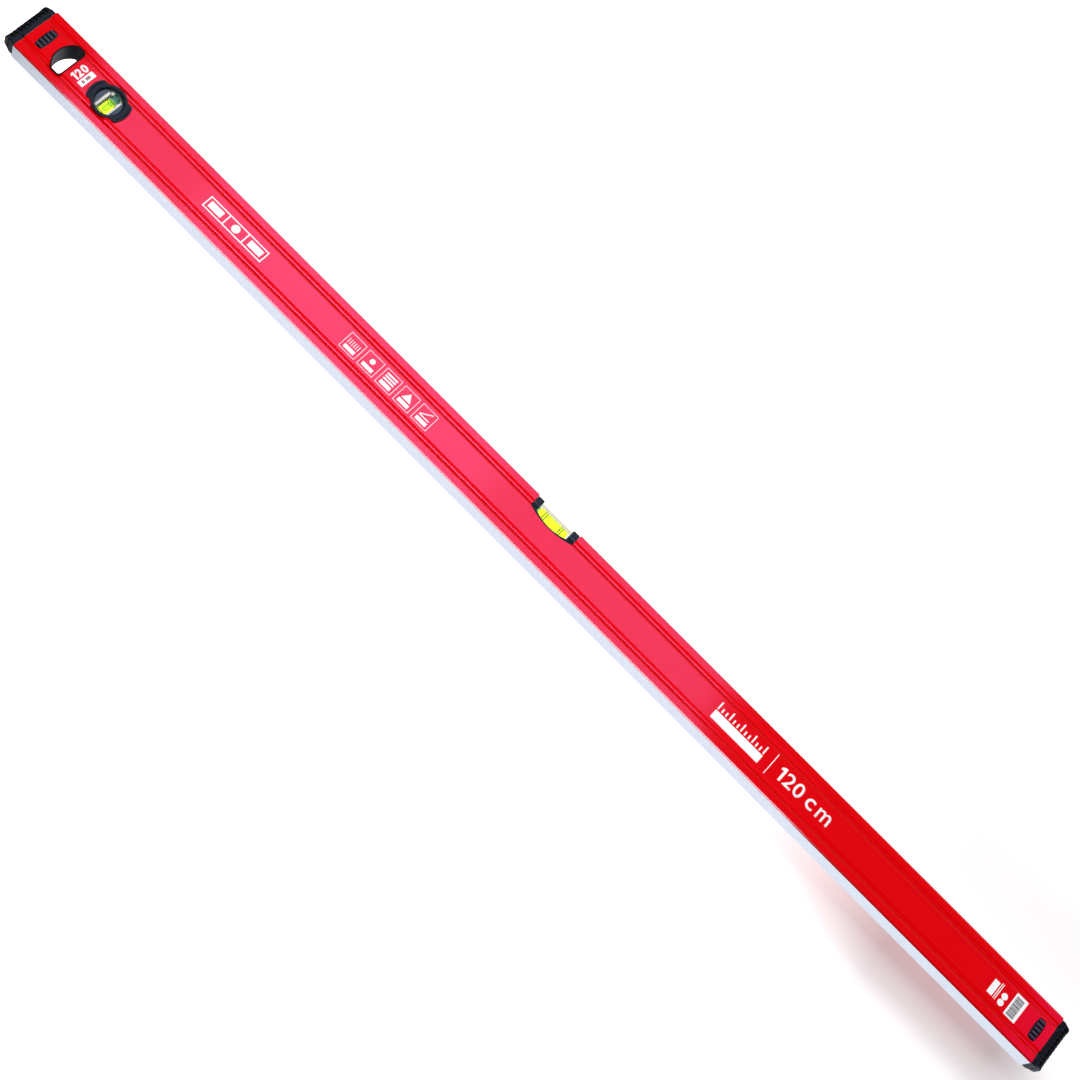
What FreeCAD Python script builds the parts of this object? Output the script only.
"""Spirit level, 120 cm: an aluminium box profile with two vials and pull-off end caps.

Frame: X runs along the level, -Y is the front face, Z is up. The origin is the middle of the
milled measuring face, on which the level stands. All sizes are in millimetres.
"""
import FreeCAD, Part
import os
from types import SimpleNamespace

import Sketcher
from FreeCAD import Rotation, Vector

DRIVING_SIZES = {
    # extruded profile
    "profile_length": 1174.4,
    "profile_height": 50.0,
    "profile_width": 20.0,
    "side_wall": 1.4,
    "top_web": 1.8,
    "base_web": 2.4,
    "base_chamfer": 1.3,
    "groove_depth": 1.6,
    "lower_groove": 7.2,
    "upper_groove": 37.0,
    "groove_lower_flank": 3.2,
    "groove_floor": 1.4,
    "groove_upper_flank": 1.6,
    "groove_round": 0.45,
    "top_edge_bevel": 0.7,
    "inner_round": 0.5,
    # clearances
    "fit_gap": 0.1,
    "guide_gap": 0.06,
    # end caps
    "collar_thickness": 4.7,
    "collar_inset": 1.1,
    "collar_slot_depth": 2.8,
    "plug_length": 22.0,
    "plug_floor": 2.0,
    "plug_wall": 1.4,
    "plug_core_half": 2.5,
    "plug_core_margin": 5.0,
    "bumper_reach": 12.4,
    "bumper_core_reach": 9.8,
    "bumper_core_half": 8.7,
    "bumper_rib_half": 9.9,
    "bumper_core_shoulder": 5.6,
    "bumper_rib_shoulder": 5.2,
    "bumper_end_inset": 0.6,
    "bumper_core_inset": 1.2,
    "bumper_corner": 5.5,
    "rib_count": 11,
    "rib_pitch": 4.15,
    "rib_width": 2.2,
    "end_rib_width": 3.0,
    "end_rib_reach": 12.8,
    # release buttons in the end caps
    "button_from_end": 12.65,
    "button_height": 25.0,
    "button_half_length": 10.5,
    "button_half_end": 3.3,
    "button_bulge": 1.1,
    "button_corner": 2.2,
    "button_stand": 0.15,
    "button_rib_stand": 1.2,
    "button_rib_count": 5,
    "button_rib_width": 2.0,
    "button_rib_pitch": 4.05,
    "button_rib_half": 3.2,
    "button_plate": 1.2,
    "button_plate_half": 6.5,
    "button_plate_margin": 0.2,
    # hand hole and its liner
    "hand_arc_centre": 45.2,
    "hand_arc_radius": 18.8,
    "hand_half_height": 15.1,
    "hand_straight_side": 42.2,
    "hand_corner": 2.6,
    "liner_wall": 0.8,
    "liner_lip": 1.15,
    "liner_lip_stand": 0.8,
    "liner_lip_round": 0.5,
    # plumb vial
    "plumb_from_end": 85.1,
    "bezel_radius": 15.3,
    "bezel_wing_radius": 19.4,
    "bezel_wing_half": 10.8,
    "bezel_stand": 1.2,
    "bezel_window": 11.6,
    "bezel_window_outer": 12.9,
    "bezel_plate": 2.6,
    "bezel_tube_outer": 14.4,
    "bezel_tube_inner": 13.4,
    "bezel_corner": 2.0,
    "wing_slot_radius": 17.4,
    "wing_slot_width": 0.5,
    "wing_slot_depth": 0.5,
    "wing_slot_half": 7.5,
    "plumb_block_half_x": 5.5,
    "plumb_block_half_y": 5.6,
    "plumb_block_half_z": 11.2,
    "plumb_strip": 2.4,
    "plumb_strip_half": 9.3,
    "plumb_bore_radius": 4.4,
    "plumb_bore_low": 10.0,
    "plumb_bore_high": 5.4,
    "plumb_plug_radius": 4.0,
    "plumb_ring_offset": 6.4,
    "plumb_bubble_length": 11.0,
    "plumb_bubble_radius": 2.75,
    # centre vial
    "notch_half": 23.9,
    "notch_side_depth": 12.8,
    "notch_middle_depth": 17.0,
    "lug_length": 7.0,
    "lug_drop": 1.4,
    "lug_top_round": 0.8,
    "arch_rim": 1.35,
    "view_arc_radius": 45.0,
    "holder_face_inset": 0.15,
    "holder_half": 6.85,
    "holder_floor": 1.6,
    "trough_end_gap": 1.0,
    "centre_block_half_y": 5.9,
    "centre_block_top": 2.0,
    "centre_block_height": 12.4,
    "centre_bore_radius": 4.3,
    "centre_bore_height": 42.1,
    "centre_bore_half": 15.6,
    "centre_plug_radius": 3.2,
    "centre_ring_inner": 7.8,
    "centre_ring_outer": 9.95,
    "centre_bubble_length": 14.4,
    "centre_bubble_radius": 2.9,
    # shared by both vials
    "ring_width": 0.5,
    "ring_thickness": 0.2,
    "strip_thickness": 0.8,
}

doc = FreeCAD.newDocument("spirit_level")
sheet = doc.addObject("Spreadsheet::Sheet", "Sizes")
for row, (alias, number) in enumerate(DRIVING_SIZES.items(), start=1):
    sheet.set(f"A{row}", alias.replace("_", " "))
    sheet.set(f"B{row}", str(number))
    sheet.setAlias(f"B{row}", alias)
doc.recompute()


class Size:
    """A number kept together with the sheet expression that gives it."""

    def __init__(self, value, text):
        self.value = value
        self.text = text

    def __add__(self, other):
        other = as_size(other)
        return Size(self.value + other.value, f"({self.text} + {other.text})")

    def __sub__(self, other):
        other = as_size(other)
        return Size(self.value - other.value, f"({self.text} - {other.text})")

    def __mul__(self, other):
        other = as_size(other)
        return Size(self.value * other.value, f"({self.text} * {other.text})")

    def __truediv__(self, other):
        other = as_size(other)
        return Size(self.value / other.value, f"({self.text} / {other.text})")

    def __radd__(self, other):
        return as_size(other) + self

    def __rsub__(self, other):
        return as_size(other) - self

    def __neg__(self):
        return as_size(0) - self

    def root(self):
        """The square root."""
        return Size(self.value ** 0.5, f"sqrt({self.text})")


def as_size(number):
    """The Size of a plain number, or the Size itself."""
    if isinstance(number, Size):
        return number
    return Size(float(number), f"({float(number)})")


S = SimpleNamespace(**{
    alias: Size(sheet.get(alias), f"Sizes.{alias}") for alias in DRIVING_SIZES
})

AXES = {"x": Vector(1, 0, 0), "y": Vector(0, 1, 0), "z": Vector(0, 0, 1)}
ROD_TURNS = {
    "x": Rotation(AXES["y"], 90),
    "y": Rotation(AXES["x"], -90),
    "z": Rotation(),
}
# a sketch's own axes: Y and Z across the level, X and Z along its face, X and Y seen from above
SKETCH_TURNS = {
    "x": Rotation(Vector(1, 1, 1), 120),
    "y": Rotation(AXES["x"], 90),
    "z": Rotation(),
}
OTHER_AXES = {"x": ("y", "z"), "y": ("x", "z"), "z": ("x", "y")}


def bind(obj, path, size):
    """Tie one property of an object to the sheet."""
    obj.setExpression(path, as_size(size).text)


def block(name, x, y, z):
    """A box between the two values given for each axis."""
    box = doc.addObject("Part::Box", name)
    for side, axis, (low, high) in (("Length", "x", x), ("Width", "y", y), ("Height", "z", z)):
        bind(box, side, high - low)
        bind(box, f"Placement.Base.{axis}", low)
    return box


def place_round(solid, axis, low, high, centre):
    """Lay a cylinder or cone along an axis from low to high, about the centre of that plane."""
    solid.Placement.Rotation = ROD_TURNS[axis]
    bind(solid, "Height", high - low)
    bind(solid, f"Placement.Base.{axis}", low)
    for other, place in zip(OTHER_AXES[axis], centre):
        bind(solid, f"Placement.Base.{other}", place)
    return solid


def rod(name, axis, radius, low, high, centre):
    """A cylinder along an axis."""
    solid = doc.addObject("Part::Cylinder", name)
    bind(solid, "Radius", radius)
    return place_round(solid, axis, low, high, centre)


def taper(name, axis, low_radius, high_radius, low, high, centre):
    """A cone frustum along an axis."""
    solid = doc.addObject("Part::Cone", name)
    bind(solid, "Radius1", low_radius)
    bind(solid, "Radius2", high_radius)
    return place_round(solid, axis, low, high, centre)


def ball(name, radius, x, y, z):
    """A sphere about a point."""
    solid = doc.addObject("Part::Sphere", name)
    bind(solid, "Radius", radius)
    for axis, place in zip("xyz", (x, y, z)):
        bind(solid, f"Placement.Base.{axis}", place)
    return solid


def arc_between(start, end, radius):
    """The arc of under half a turn between two points, and whether it runs anticlockwise."""
    chord = end - start
    side = Vector(-chord.y, chord.x, 0).normalize()
    reach = (radius * radius - chord.Length ** 2 / 4) ** 0.5
    centre = (start + end) * 0.5 + side * (reach if radius > 0 else -reach)
    middle_way = ((start + end) * 0.5 - centre).normalize()
    middle = centre + middle_way * abs(radius)
    return Part.Arc(start, middle, end), radius > 0


def outline_sketch(name, axis, offset, outline):
    """A closed sketch at an offset along an axis.

    Each corner is (a, b), or (a, b, radius) where an arc leads up to it: a positive radius puts
    the arc's centre on the left of the way round. Every corner and radius is tied to the sheet.
    """
    sketch = doc.addObject("Sketcher::SketchObject", name)
    sketch.Placement.Rotation = SKETCH_TURNS[axis]
    bind(sketch, f"Placement.Base.{axis}", offset)
    corners = [Vector(as_size(corner[0]).value, as_size(corner[1]).value, 0) for corner in outline]
    count = len(outline)
    ends = []
    for index in range(count):
        start, end = corners[index], corners[(index + 1) % count]
        target = outline[(index + 1) % count]
        if len(target) == 3:
            arc, anticlockwise = arc_between(start, end, as_size(target[2]).value)
            sketch.addGeometry(arc, False)
            ends.append((1, 2) if anticlockwise else (2, 1))
        else:
            sketch.addGeometry(Part.LineSegment(start, end), False)
            ends.append((1, 2))

    def hold(kind, *numbers, size=None):
        """Add one constraint, and tie its value to the sheet where it has one."""
        if size is None:
            sketch.addConstraint(Sketcher.Constraint(kind, *numbers))
            return
        place = sketch.addConstraint(Sketcher.Constraint(kind, *numbers, as_size(size).value))
        sketch.setExpression(f"Constraints[{place}]", as_size(size).text)

    for index in range(count):
        following = (index + 1) % count
        hold("Coincident", index, ends[index][1], following, ends[following][0])
        hold("DistanceX", -1, 1, index, ends[index][0], size=outline[index][0])
        hold("DistanceY", -1, 1, index, ends[index][0], size=outline[index][1])
        if len(outline[following]) == 3:
            radius = as_size(outline[following][2])
            hold("Radius", index, size=radius if radius.value > 0 else -radius)
    return sketch


def prism(name, axis, low, high, outline):
    """An outline extruded along an axis from low to high."""
    solid = doc.addObject("Part::Extrusion", name)
    solid.Base = outline_sketch(name + "_outline", axis, low, outline)
    solid.DirMode = "Custom"
    solid.Dir = AXES[axis]
    solid.Solid = True
    bind(solid, "LengthFwd", high - low)
    return solid


def fuse(name, *shapes):
    """All the shapes as one."""
    joined = doc.addObject("Part::MultiFuse", name)
    joined.Shapes = list(shapes)
    return joined


def common(name, *shapes):
    """The space that all the shapes share."""
    shared = doc.addObject("Part::MultiCommon", name)
    shared.Shapes = list(shapes)
    return shared


def cut(name, base, *tools):
    """The base with each tool taken out of it."""
    result = doc.addObject("Part::Cut", name)
    result.Base = base
    result.Tool = tools[0] if len(tools) == 1 else fuse(name + "_tools", *tools)
    return result


def group(name, *shapes):
    """Separate solids that make one node."""
    together = doc.addObject("Part::Compound", name)
    together.Links = list(shapes)
    return together


def mirrored(name, source, axis):
    """The source on the other side of the middle of the level."""
    image = doc.addObject("Part::Mirroring", name)
    image.Source = source
    image.Normal = AXES[axis]
    return image


def rounded(name, base, choices):
    """The base with its edges rounded: each choice is a test for an edge and a radius."""
    doc.recompute()
    edges = []
    for number, edge in enumerate(base.Shape.Edges, start=1):
        for wanted, radius in choices:
            if wanted(edge):
                edges.append((number, radius.value, radius.value))
                break
    if not edges:
        raise ValueError(name + " has no edge to round")
    result = doc.addObject("Part::Fillet", name)
    result.Base = base
    result.Edges = edges
    return result


def runs_along(edge, axis):
    """Whether an edge is straight and parallel to an axis."""
    if not isinstance(edge.Curve, (Part.Line, Part.LineSegment)):
        return False
    way = edge.Vertexes[-1].Point - edge.Vertexes[0].Point
    return way.cross(AXES[axis]).Length < 1e-6 * way.Length


sub_parts = []


def node(label, solid):
    """Name a finished sub-part: its label is the name of its file."""
    solid.Label = label
    sub_parts.append(solid)
    return solid


# how far a cutting shape runs past the solid it cuts
OVERRUN = 1
# two places closer than this are the same place
CLOSE = 0.01
HALF_WIDTH = S.profile_width / 2
HALF_LENGTH = S.profile_length / 2
FACE = -HALF_WIDTH


def from_end(distance):
    """The X of a place at a distance from the left end of the profile."""
    return distance - HALF_LENGTH


# ---------------------------------------------------------------- profile


def groove_heights(start):
    """Where a groove that starts at a height reaches its floor, leaves it and ends."""
    floor_low = start + S.groove_lower_flank
    floor_high = floor_low + S.groove_floor
    return floor_low, floor_high, floor_high + S.groove_upper_flank


def side_outline(wall, low, high, low_step, high_step):
    """One side of the profile's section, from low to high, a wall's thickness in from the face.

    The steps are the size of the bevel at the lower and upper end.
    """
    face = FACE + wall
    deep = face + S.groove_depth
    outline = [
        (face + low_step, low),
        (face, low + low_step),
    ]
    for start in (S.lower_groove, S.upper_groove):
        floor_low, floor_high, end = groove_heights(start)
        outline += [(face, start), (deep, floor_low), (deep, floor_high), (face, end)]
    return outline + [(face, high - high_step), (face + high_step, high)]


def both_sides(side):
    """A closed section from its front side, which is copied to the back."""
    return side + [(-across, up) for across, up in reversed(side)]


def outer_section(inset):
    """The outside of the profile, smaller all round by an inset."""
    return both_sides(side_outline(inset, inset, S.profile_height - inset,
                                   S.base_chamfer, S.top_edge_bevel))


def cavity_section(gap):
    """The space inside the profile, smaller all round by a gap."""
    wall = S.side_wall + gap
    low = S.base_web + gap
    high = S.profile_height - S.top_web - gap
    return both_sides(side_outline(wall, low, high, S.inner_round, S.inner_round))


def at_height(edge, *heights):
    """Whether an edge starts at one of the heights."""
    return any(abs(edge.Vertexes[0].Z - height.value) < CLOSE for height in heights)


def smooth_grooves(name, bar):
    """A bar of the profile's section with its grooves softened."""
    heights = []
    for start in (S.lower_groove, S.upper_groove):
        heights += [start, *groove_heights(start)]
    return rounded(name, bar, [
        (lambda edge: runs_along(edge, "x") and at_height(edge, *heights), S.groove_round)])


def hand_hole(grow):
    """The hand hole: an arc towards the level's end, a straight side and two rounded corners."""
    half = S.hand_half_height + grow
    radius = S.hand_arc_radius + grow
    tip = S.hand_arc_centre - (radius * radius - half * half).root()
    corner = S.hand_corner + grow
    straight = S.hand_straight_side + grow
    middle = S.profile_height / 2
    return [
        (from_end(tip), middle - half, radius),
        (from_end(straight - corner), middle - half),
        (from_end(straight), middle - half + corner, corner),
        (from_end(straight), middle + half - corner),
        (from_end(straight - corner), middle + half, corner),
        (from_end(tip), middle + half),
        (from_end(S.hand_arc_centre - radius), middle, radius),
    ]


def button_outline(grow):
    """The release button's barrel shape, longer than it is wide."""
    half = S.button_half_length + grow
    end = S.button_half_end + grow
    bulge = S.button_bulge
    radius = (half * half + bulge * bulge) / (bulge * 2)
    middle = from_end(S.button_from_end)
    low = S.button_height - half
    high = S.button_height + half
    return [
        (middle - end, low, radius),
        (middle + end, low),
        (middle + end, high, radius),
        (middle - end, high),
    ]


def above_arc(name, radius, floor, half, low, high):
    """What lies above an arched floor as wide as twice half, between two Y values."""
    disc = rod(name + "_disc", "y", radius, low, high, (as_size(0), floor + radius))
    slab = block(name + "_slab", (-half, half), (low, high), (floor, floor + radius))
    return common(name, disc, slab)


def notch(name, gap, low, high):
    """The notch for the centre vial, smaller all round by a gap, between two Y values."""
    half = S.notch_half
    rise = S.notch_middle_depth - S.notch_side_depth
    radius = (half * half + rise * rise) / (rise * 2)
    floor = S.profile_height - S.notch_middle_depth
    return above_arc(name, radius - gap, floor + gap, half - gap, low, high)


def make_profile():
    """The red box section, with all the openings cut through it."""
    bar = prism("bar", "x", -HALF_LENGTH, HALF_LENGTH, outer_section(as_size(0)))
    outside = smooth_grooves("bar_smooth", bar)
    hollow = prism("hollow", "x", -HALF_LENGTH - OVERRUN, HALF_LENGTH + OVERRUN, cavity_section(as_size(0)))
    inside = smooth_grooves("hollow_smooth", hollow)
    through = (-S.profile_width, S.profile_width)
    hand = prism("hand_opening", "y", *through, hand_hole(S.liner_wall + S.guide_gap))
    plumb = rod("plumb_opening", "y", S.bezel_tube_outer + S.guide_gap, *through,
                (from_end(S.plumb_from_end), S.profile_height / 2))
    opening = notch("notch", as_size(0), *through)
    window = prism("button_window", "y", *through, button_outline(S.fit_gap * 2))
    windows = rounded("button_window_round", window, [
        (lambda edge: runs_along(edge, "y"), S.button_corner)])
    far_windows = mirrored("button_window_far", windows, "x")
    tube = cut("tube", outside, inside)
    node("profile", cut("profile", tube, hand, plumb, opening, windows, far_windows))


# ---------------------------------------------------------------- end caps


def make_cap_plug():
    """The cap's hard inner part: a collar against the profile's end and a plug inside it."""
    inset = S.collar_inset
    half = HALF_WIDTH - inset
    collar = block("collar", (from_end(-S.collar_thickness), from_end(0)), (-half, half),
                   (inset, S.profile_height - inset))
    collar_round = rounded("collar_round", collar, [
        (lambda edge: runs_along(edge, "x"), S.collar_inset)])
    insert = prism("insert", "x", from_end(0), from_end(S.plug_length), cavity_section(S.fit_gap))
    slot_floor = half - S.groove_depth
    slots = []
    for side, (near, far) in (("front", (-HALF_WIDTH, -slot_floor)), ("back", (slot_floor, HALF_WIDTH))):
        for level, start in (("low", S.lower_groove), ("high", S.upper_groove)):
            slots.append(block(f"collar_slot_{side}_{level}",
                               (from_end(-S.collar_slot_depth), from_end(0)), (near, far),
                               (start, groove_heights(start)[-1])))
    web = S.plug_core_half + S.plug_wall
    pocket_x = (from_end(S.button_from_end - S.button_plate_half - OVERRUN),
                from_end(S.button_from_end + S.button_plate_half + OVERRUN))
    pocket_half = S.button_half_length + S.button_plate_margin + S.fit_gap
    pocket_z = (S.button_height - pocket_half, S.button_height + pocket_half)
    front_pocket = block("front_pocket", pocket_x, (-HALF_WIDTH, -web), pocket_z)
    back_pocket = block("back_pocket", pocket_x, (web, HALF_WIDTH), pocket_z)
    core = block("plug_core", (from_end(S.plug_floor), from_end(S.plug_length + OVERRUN)),
                 (-S.plug_core_half, S.plug_core_half),
                 (S.plug_core_margin, S.profile_height - S.plug_core_margin))
    blank = fuse("cap_plug_blank", collar_round, insert)
    left = node("left_cap_plug", cut("left_cap_plug", blank, *slots, front_pocket, back_pocket, core))
    node("right_cap_plug", mirrored("right_cap_plug", left, "x"))


def bumper_plan(reach, half, shoulder):
    """The half-round plan of the bumper, seen from above."""
    rise = reach - shoulder
    radius = (half * half + rise * rise) / (rise * 2)
    return [
        (from_end(-S.collar_thickness), -half),
        (from_end(-S.collar_thickness), half),
        (from_end(-shoulder), half),
        (from_end(-shoulder), -half, radius),
    ]


def bumper_side(reach, inset, corner):
    """The bumper seen from the front: its two outer corners are round."""
    low = S.bumper_end_inset + inset
    high = S.profile_height - S.bumper_end_inset - inset
    return [
        (from_end(-S.collar_thickness), low),
        (from_end(-S.collar_thickness), high),
        (from_end(corner - reach), high),
        (from_end(-reach), high - corner, corner),
        (from_end(-reach), low + corner),
        (from_end(corner - reach), low, corner),
    ]


def make_bumper():
    """The soft outer part of the cap, ribbed all the way round its end."""
    across = (-S.profile_width, S.profile_width)
    height = (as_size(0), S.profile_height)
    core_plan = prism("bumper_core_plan", "z", *height,
                      bumper_plan(S.bumper_core_reach, S.bumper_core_half, S.bumper_core_shoulder))
    core_side = prism("bumper_core_side", "y", *across,
                      bumper_side(S.bumper_core_reach, S.bumper_core_inset,
                                  S.bumper_corner - S.bumper_core_inset))
    core = common("bumper_core", core_plan, core_side)
    rib_side = prism("bumper_rib_side", "y", *across,
                     bumper_side(S.end_rib_reach, as_size(0), S.bumper_corner))
    slabs = []
    count = int(S.rib_count.value)
    for number in range(count):
        middle = S.profile_height / 2 + S.rib_pitch * (number - (count - 1) / 2)
        outermost = number in (0, count - 1)
        width = S.end_rib_width if outermost else S.rib_width
        reach = S.end_rib_reach if outermost else S.bumper_reach
        slabs.append(prism(f"rib_{number + 1}", "z", middle - width / 2, middle + width / 2,
                           bumper_plan(reach, S.bumper_rib_half, S.bumper_rib_shoulder)))
    ribs = common("bumper_ribs", fuse("bumper_rib_stack", *slabs), rib_side)
    left = node("left_cap_bumper", fuse("left_cap_bumper", core, ribs))
    node("right_cap_bumper", mirrored("right_cap_bumper", left, "x"))


def make_buttons():
    """The four ribbed buttons that hold the caps in the profile."""
    guide = FACE + S.side_wall + S.guide_gap
    plate_half = S.button_half_length + S.button_plate_margin
    plate = block("button_plate",
                  (from_end(S.button_from_end - S.button_plate_half),
                   from_end(S.button_from_end + S.button_plate_half)),
                  (guide, guide + S.button_plate),
                  (S.button_height - plate_half, S.button_height + plate_half))
    base = prism("button_base", "y", FACE - S.button_stand, guide + S.button_plate / 2,
                 button_outline(as_size(0)))
    tall = prism("button_tall", "y", FACE - S.button_rib_stand, guide + S.button_plate / 2,
                 button_outline(as_size(0)))
    base_round = rounded("button_base_round", base, [
        (lambda edge: runs_along(edge, "y"), S.button_corner)])
    tall_round = rounded("button_tall_round", tall, [
        (lambda edge: runs_along(edge, "y"), S.button_corner)])
    bars = []
    middle_x = from_end(S.button_from_end)
    count = int(S.button_rib_count.value)
    for number in range(count):
        middle = S.button_height + S.button_rib_pitch * (number - (count - 1) / 2)
        bars.append(block(f"button_rib_{number + 1}",
                          (middle_x - S.button_rib_half, middle_x + S.button_rib_half),
                          (FACE - S.button_rib_stand * 2, guide),
                          (middle - S.button_rib_width / 2, middle + S.button_rib_width / 2)))
    ribs = common("button_ribs", tall_round, fuse("button_rib_bars", *bars))
    left_front = node("left_front_button", fuse("left_front_button", plate, base_round, ribs))
    left_back = node("left_back_button", mirrored("left_back_button", left_front, "y"))
    node("right_front_button", mirrored("right_front_button", left_front, "x"))
    node("right_back_button", mirrored("right_back_button", left_back, "x"))


# ---------------------------------------------------------------- hand hole


def make_liner():
    """The two halves of the liner: each has a lip on its face and a tunnel to the middle."""
    lip = prism("liner_lip", "y", FACE - S.liner_lip_stand, FACE, hand_hole(S.liner_lip))
    sleeve = prism("liner_sleeve", "y", FACE - S.liner_lip_stand / 2, as_size(0),
                   hand_hole(S.liner_wall))
    tunnel = prism("liner_tunnel", "y", FACE - S.liner_lip_stand * 2, as_size(OVERRUN),
                   hand_hole(as_size(0)))
    lip_face = FACE - S.liner_lip_stand
    lip_round = rounded("liner_lip_round", lip, [
        (lambda edge: all(abs(corner.Y - lip_face.value) < CLOSE for corner in edge.Vertexes),
         S.liner_lip_round)])
    front = cut("hand_hole_liner_front", fuse("liner_blank", lip_round, sleeve), tunnel)
    node("hand_hole_liner_front", front)
    node("hand_hole_liner_back", mirrored("hand_hole_liner_back", front, "y"))


# ---------------------------------------------------------------- plumb vial

PLUMB_X = from_end(S.plumb_from_end)
PLUMB_Z = S.profile_height / 2
PLUMB_CENTRE = (PLUMB_X, PLUMB_Z)


def make_bezels():
    """The two winged rings that close the round hole and hold the plumb vial between them."""
    outer = FACE - S.bezel_stand
    under = FACE - S.bezel_stand + S.bezel_plate
    disc = rod("bezel_disc", "y", S.bezel_radius, outer, FACE, PLUMB_CENTRE)
    wide = rod("bezel_wide", "y", S.bezel_wing_radius, outer, FACE, PLUMB_CENTRE)
    band = block("bezel_band", (PLUMB_X - S.bezel_wing_radius, PLUMB_X + S.bezel_wing_radius),
                 (outer, FACE), (PLUMB_Z - S.bezel_wing_half, PLUMB_Z + S.bezel_wing_half))
    wings = common("bezel_wings", wide, band)
    flange = rounded("bezel_flange_round", fuse("bezel_flange", disc, wings), [
        (lambda edge: runs_along(edge, "y"), S.bezel_corner)])
    tube = rod("bezel_tube", "y", S.bezel_tube_outer, FACE - S.bezel_stand / 2, as_size(0), PLUMB_CENTRE)
    blank = fuse("bezel_blank", flange, tube)
    window = taper("bezel_window", "y", S.bezel_window_outer, S.bezel_window, outer, under, PLUMB_CENTRE)
    chamber = rod("bezel_chamber", "y", S.bezel_tube_inner, under, as_size(OVERRUN), PLUMB_CENTRE)
    ring = cut("wing_slot_ring",
               rod("wing_slot_disc", "y", S.wing_slot_radius + S.wing_slot_width / 2, outer,
                   outer + S.wing_slot_depth, PLUMB_CENTRE),
               rod("wing_slot_core", "y", S.wing_slot_radius - S.wing_slot_width / 2, outer,
                   outer + S.wing_slot_depth, PLUMB_CENTRE))
    slot_band = block("wing_slot_band",
                      (PLUMB_X - S.bezel_wing_radius, PLUMB_X + S.bezel_wing_radius), (outer, FACE),
                      (PLUMB_Z - S.wing_slot_half, PLUMB_Z + S.wing_slot_half))
    slots = common("wing_slots", ring, slot_band)
    front = node("plumb_bezel_front", cut("plumb_bezel_front", blank, window, chamber, slots))
    node("plumb_bezel_back", mirrored("plumb_bezel_back", front, "y"))


def capsule(name, axis, radius, low, high, centre):
    """A bubble: a rod with round ends, from tip to tip."""
    body = rod(name + "_body", axis, radius, low + radius, high - radius, centre)
    ends = []
    for end, place in (("low", low + radius), ("high", high - radius)):
        point = dict(zip(OTHER_AXES[axis], centre))
        point[axis] = place
        ends.append(ball(f"{name}_{end}_end", radius, point["x"], point["y"], point["z"]))
    return fuse(name, body, *ends)


def make_plumb_vial():
    """The clear block with its upright bore, and the frame that carries it."""
    middle = as_size(0)
    centre = (PLUMB_X, middle)
    bore_low = PLUMB_Z - S.plumb_bore_low
    bore_high = PLUMB_Z + S.plumb_bore_high
    block_x = (PLUMB_X - S.plumb_block_half_x, PLUMB_X + S.plumb_block_half_x)
    block_y = (-S.plumb_block_half_y, S.plumb_block_half_y)
    block_z = (PLUMB_Z - S.plumb_block_half_z, PLUMB_Z + S.plumb_block_half_z)
    body = block("plumb_block_body", block_x, block_y, block_z)
    bore = rod("plumb_bore", "z", S.plumb_bore_radius, bore_low, bore_high, centre)
    filler = rod("plumb_filler", "z", S.plumb_plug_radius, bore_high, block_z[1] + OVERRUN, centre)
    node("plumb_vial_block", cut("plumb_vial_block", body, fuse("plumb_bore_all", bore, filler)))
    node("plumb_vial_plug", rod("plumb_vial_plug", "z", S.plumb_plug_radius, bore_high, block_z[1],
                                centre))

    frame_half = HALF_WIDTH + S.bezel_stand - S.bezel_plate - S.guide_gap
    strip_half = S.plumb_strip_half
    through = (-S.profile_width, S.profile_width)
    frame_disc = rod("plumb_frame_disc", "y", S.bezel_tube_inner - S.guide_gap, -frame_half,
                     frame_half, PLUMB_CENTRE)
    openings = []
    for use, half_x, half_z in (("block", S.plumb_block_half_x, S.plumb_block_half_z),
                                ("strip", S.plumb_block_half_x + S.plumb_strip, strip_half)):
        half_x = half_x + S.guide_gap
        half_z = half_z + S.guide_gap
        openings.append(block(f"plumb_{use}_space", (PLUMB_X - half_x, PLUMB_X + half_x), through,
                              (PLUMB_Z - half_z, PLUMB_Z + half_z)))
    node("plumb_vial_frame", cut("plumb_vial_frame", frame_disc, *openings))

    strips = []
    for side, near in (("near", -1), ("far", 1)):
        inner = PLUMB_X + S.plumb_block_half_x * near
        outer = inner + S.plumb_strip * near
        low, high = (outer, inner) if near < 0 else (inner, outer)
        strips.append(block(f"plumb_strip_{side}", (low, high), block_y,
                            (PLUMB_Z - strip_half, PLUMB_Z + strip_half)))
    node("plumb_reflector", group("plumb_reflector", *strips))

    rings = []
    bore_middle = (bore_low + bore_high) / 2
    for side, offset in (("low", -S.plumb_ring_offset), ("high", S.plumb_ring_offset)):
        rings.append(make_ring(f"plumb_ring_{side}", "z", S.plumb_bore_radius, bore_middle + offset,
                               centre))
    node("plumb_rings", group("plumb_rings", *rings))

    top = bore_high - S.fit_gap * 3
    bubble = node("plumb_bubble", capsule("plumb_bubble", "z", S.plumb_bubble_radius,
                                          top - S.plumb_bubble_length, top, centre))
    filling = rod("plumb_filling", "z", S.plumb_bore_radius - S.ring_thickness - S.guide_gap,
                  bore_low, bore_high, centre)
    node("plumb_liquid", cut("plumb_liquid", filling, bubble))


def make_ring(name, axis, bore_radius, place, centre):
    """A thin marking ring against the wall of a bore."""
    low = place - S.ring_width / 2
    high = place + S.ring_width / 2
    outer = rod(name + "_outer", axis, bore_radius, low, high, centre)
    inner = rod(name + "_inner", axis, bore_radius - S.ring_thickness, low, high, centre)
    return cut(name, outer, inner)


# ---------------------------------------------------------------- centre vial


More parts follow.
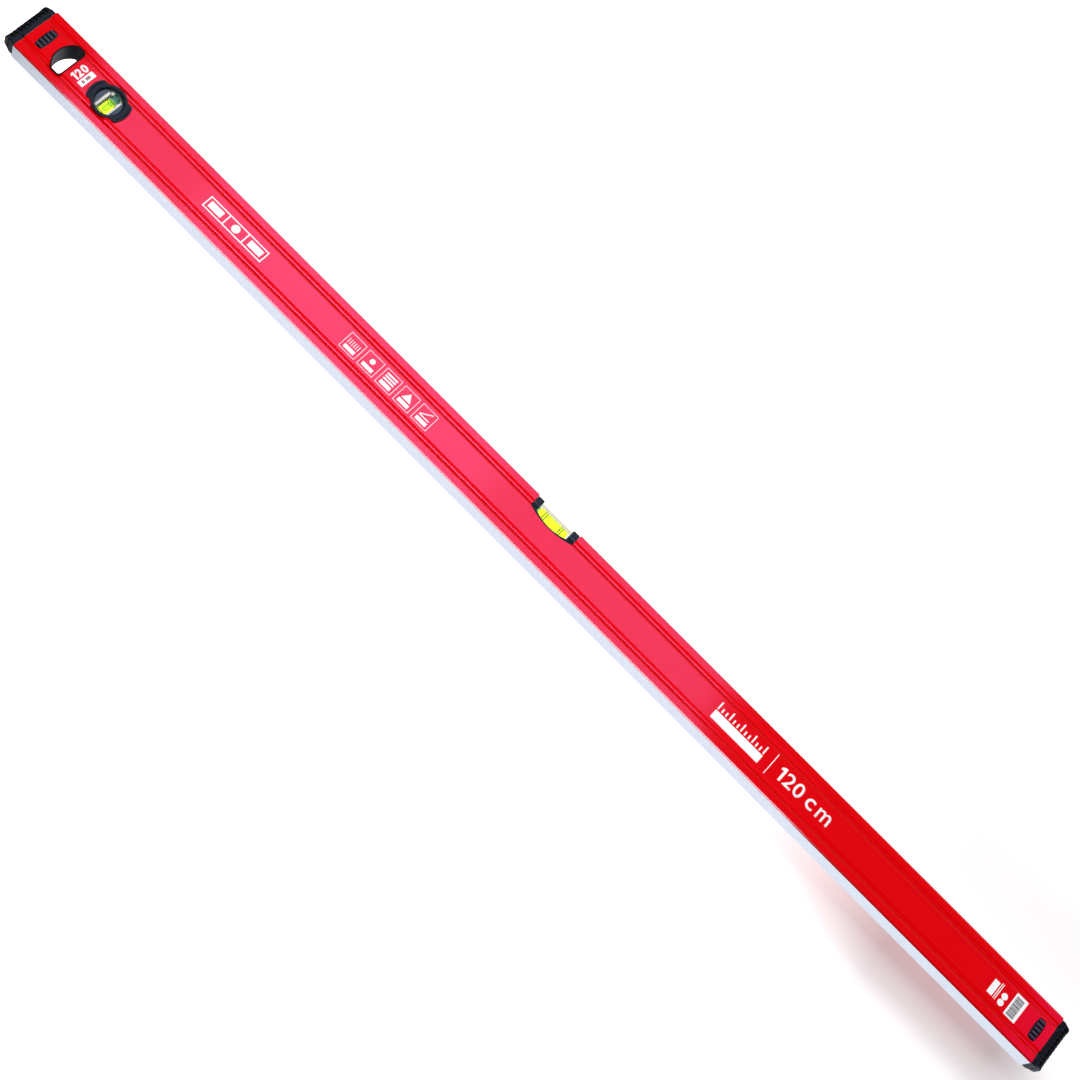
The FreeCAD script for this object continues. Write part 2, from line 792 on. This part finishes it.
def make_centre_holder():
    """The black saddle in the notch: two lugs, an arched rim and a trough for the vial."""
    lug_inner = S.notch_half - S.lug_length
    face = HALF_WIDTH - S.holder_face_inset
    top = S.profile_height - S.lug_drop
    notch_end = S.notch_half - S.guide_gap
    notch_floor = S.profile_height - S.notch_middle_depth
    notch_side = S.profile_height - S.notch_side_depth
    block_low = S.profile_height - S.centre_block_top - S.centre_block_height
    trough_low = block_low - S.strip_thickness - S.holder_floor
    filling = common("saddle_filling", notch("saddle_space", S.guide_gap, -face, face), block(
        "saddle_height", (-notch_end, notch_end), (-face, face), (notch_floor, top)))
    view = above_arc("saddle_view", S.view_arc_radius, notch_floor + S.arch_rim, lug_inner,
                     -S.profile_width, S.profile_width)
    lugs = rounded("saddle_lugs_round", cut("saddle_lugs", filling, view), [
        (lambda edge: runs_along(edge, "y") and at_height(edge, top), S.lug_top_round)])
    trough = block("trough", (S.trough_end_gap - notch_end, notch_end - S.trough_end_gap),
                   (-S.holder_half, S.holder_half), (trough_low, notch_side + OVERRUN))
    skin = prism("holder_skin", "x", -notch_end, notch_end, outer_section(S.holder_face_inset))
    blank = common("centre_holder_skinned", skin, fuse("centre_holder_blank", lugs, trough))
    vial_space = block("vial_space", (-lug_inner, lug_inner),
                       (-S.centre_block_half_y, S.centre_block_half_y),
                       (block_low - S.strip_thickness, S.profile_height + OVERRUN))
    node("centre_vial_holder", cut("centre_vial_holder", blank, vial_space, view))


def make_centre_vial():
    """The clear block with its lengthwise bore, and what it holds."""
    lug_inner = S.notch_half - S.lug_length
    half_length = lug_inner - S.guide_gap
    top = S.profile_height - S.centre_block_top
    low = top - S.centre_block_height
    centre = (as_size(0), S.centre_bore_height)
    half_y = S.centre_block_half_y - S.guide_gap
    body = block("centre_block_body", (-half_length, half_length), (-half_y, half_y), (low, top))
    bore = rod("centre_bore", "x", S.centre_bore_radius, -S.centre_bore_half, S.centre_bore_half, centre)
    filler = rod("centre_filler", "x", S.centre_plug_radius, -half_length - OVERRUN, -S.centre_bore_half,
                 centre)
    node("centre_vial_block", cut("centre_vial_block", body, fuse("centre_bore_all", bore, filler)))
    node("centre_vial_plug", rod("centre_vial_plug", "x", S.centre_plug_radius, -half_length,
                                 -S.centre_bore_half, centre))
    node("centre_reflector", block("centre_reflector", (-half_length, half_length), (-half_y, half_y),
                                   (low - S.strip_thickness, low)))
    rings = []
    for side in (-1, 1):
        for place, offset in (("inner", S.centre_ring_inner), ("outer", S.centre_ring_outer)):
            rings.append(make_ring(f"centre_ring_{place}_{'left' if side < 0 else 'right'}", "x",
                                   S.centre_bore_radius, offset * side, centre))
    node("centre_rings", group("centre_rings", *rings))

    half_bubble = S.centre_bubble_length / 2
    rise = S.centre_bore_radius - S.ring_thickness - S.centre_bubble_radius - S.fit_gap * 2
    bubble = node("centre_bubble", capsule("centre_bubble", "x", S.centre_bubble_radius,
                                           -half_bubble, half_bubble,
                                           (as_size(0), S.centre_bore_height + rise)))
    filling = rod("centre_filling", "x", S.centre_bore_radius - S.ring_thickness - S.guide_gap,
                  -S.centre_bore_half, S.centre_bore_half, centre)
    node("centre_liquid", cut("centre_liquid", filling, bubble))


make_profile()
make_cap_plug()
make_bumper()
make_buttons()
make_liner()
make_bezels()
make_plumb_vial()
make_centre_holder()
make_centre_vial()
doc.recompute()

for obj in doc.Objects:
    if "Invalid" in obj.State or "Error" in obj.State:
        raise RuntimeError(f"{obj.Name} did not build: {obj.State}")
for part in sub_parts:
    if part.Shape.isNull() or not part.Shape.isValid():
        raise RuntimeError(f"{part.Label} has no valid shape")

os.makedirs("parts", exist_ok=True)
for part in sub_parts:
    part.Shape.exportStep(os.path.join("parts", part.Label + ".step"))
    box = part.Shape.BoundBox
    print(f"{part.Label:24s} {len(part.Shape.Solids)} solid(s) {part.Shape.Volume:10.1f} mm3 "
          f"X {box.XMin:8.2f} {box.XMax:8.2f}  Y {box.YMin:7.2f} {box.YMax:7.2f}  "
          f"Z {box.ZMin:6.2f} {box.ZMax:6.2f}")
